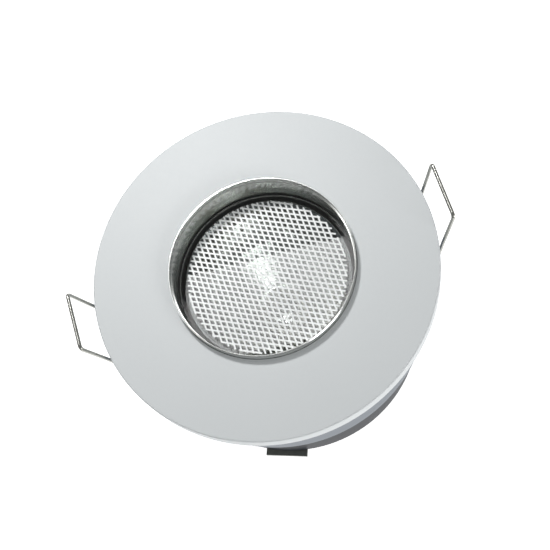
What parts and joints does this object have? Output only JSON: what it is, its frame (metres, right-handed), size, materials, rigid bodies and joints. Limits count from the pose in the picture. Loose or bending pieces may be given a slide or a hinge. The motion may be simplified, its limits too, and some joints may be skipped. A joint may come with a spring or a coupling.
{
  "type": "recessed downlight",
  "caption": "Round recessed ceiling downlight: flat white trim, polished bezel with a glass front, reflector lamp, open-backed can and sprung wire ceiling clips.",
  "frame": {"origin": "on the lamp axis, in the plane of the foam ring's seat on the trim's back; the ceiling face lies 1.4 mm behind it, against the trim's skirt", "axes": "+Z out of the lit front face; +X from the lamp axis through one spring clip; the part lies on its back, resting on the lampholder bracket"},
  "size_m": [0.1038, 0.095, 0.0741],
  "materials": {
    "white_paint": "satin stove enamel",
    "foam": "closed-cell foam",
    "silicone": "translucent silicone",
    "cast_grey": "grey casting, fine grain",
    "dark_coat": "dark heat-resistant coat",
    "zinc_steel": "zinc plated",
    "chrome_ring": "polished",
    "clear_glass": "flat polished",
    "mirror_coat": "faceted bright coat",
    "white_ceramic": "unglazed",
    "nickel_pin": "plain",
    "quartz": "clear",
    "spring_wire": "bright drawn wire",
    "bracket_steel": "dull plated",
    "black_rubber": "matt",
    "brass_part": "machined",
    "lead_sleeve": "woven sleeve",
    "rivet_alloy": "plain"
  },
  "bodies": {
    "housing": {"trim_ring": "white_paint", "ceiling_gasket": "foam", "bezel_oring": "silicone", "housing_ring": "cast_grey", "lamp_can": "dark_coat", "body_screws": "zinc_steel", "holder_bracket": "bracket_steel", "bracket_screws": "zinc_steel", "bracket_nuts": "zinc_steel", "inlet_grommet": "black_rubber", "lampholder": "white_ceramic", "holder_contacts": "brass_part", "holder_screws": "zinc_steel", "terminal_block": "white_ceramic", "terminal_barrels": "brass_part", "terminal_screws": "brass_part", "block_screw": "zinc_steel", "lead_live": "lead_sleeve", "lead_neutral": "lead_sleeve", "clip_bracket_right": "zinc_steel", "clip_pin_right": "zinc_steel", "clip_rivet_right": "rivet_alloy", "clip_bracket_left": "zinc_steel", "clip_pin_left": "zinc_steel", "clip_rivet_left": "rivet_alloy"},
    "front_unit": {"bezel_ring": "chrome_ring", "safety_glass": "clear_glass", "glass_seal": "silicone", "lamp_reflector": "mirror_coat", "lamp_base": "white_ceramic", "lamp_pins": "nickel_pin", "lamp_capsule": "quartz", "lamp_clip": "spring_wire"},
    "clip_right": {"spring_clip_right": "spring_wire"},
    "clip_left": {"spring_clip_left": "spring_wire"}
  },
  "joints": [
    {"name": "front_unit_pull", "type": "slide", "parent": "housing", "child": "front_unit", "axis": [0, 0, 1], "range_m": [0, 0.018]},
    {"name": "clip_right_swing", "type": "hinge", "parent": "housing", "child": "clip_right", "pos_m": [0.0411, 0, -0.0305], "axis": [0, 1, 0], "range_deg": [0, 160], "stiffness_Nm_per_rad": 0.02, "springref_deg": -28.65},
    {"name": "clip_left_swing", "type": "hinge", "parent": "housing", "child": "clip_left", "pos_m": [-0.0411, 0, -0.0305], "axis": [0, -1, 0], "range_deg": [0, 160], "stiffness_Nm_per_rad": 0.02, "springref_deg": -28.65}
  ]
}
